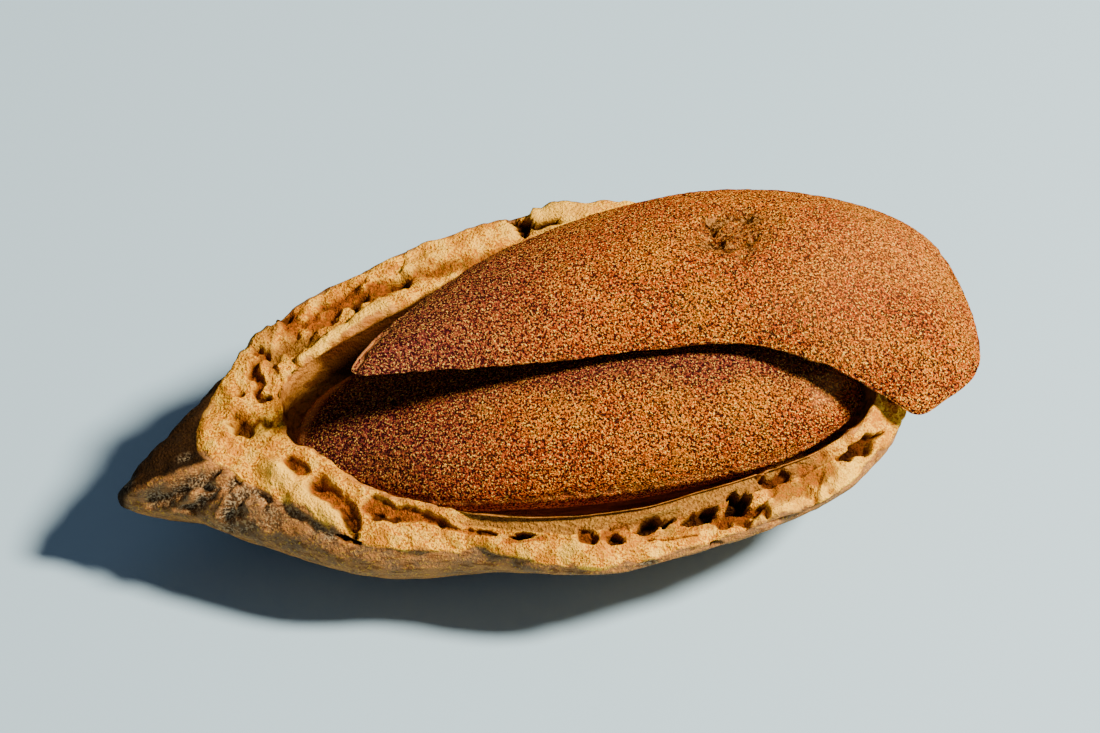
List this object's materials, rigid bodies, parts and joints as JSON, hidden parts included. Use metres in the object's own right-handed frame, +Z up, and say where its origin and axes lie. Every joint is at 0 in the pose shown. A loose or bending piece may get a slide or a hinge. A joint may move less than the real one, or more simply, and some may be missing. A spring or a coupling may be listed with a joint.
{
  "type": "almond",
  "caption": "Cracked almond: a boat-shaped half of the hard shell with a kernel in its hollow and an arched twin kernel lying over it.",
  "frame": {"origin": "on the small flat spot under the shell that the almond rests on", "axes": "+X along the almond's length from the pointed tip towards the stem end, +Y across it towards the side where the broken rim stands higher, +Z up from the rest spot"},
  "size_m": [0.0386, 0.02, 0.0117],
  "materials": {
    "shell": "matte",
    "kernel_skin": "matte"
  },
  "bodies": {
    "root": {"shell_half": "shell", "lower_kernel": "kernel_skin", "upper_kernel": "kernel_skin"}
  },
  "joints": []
}
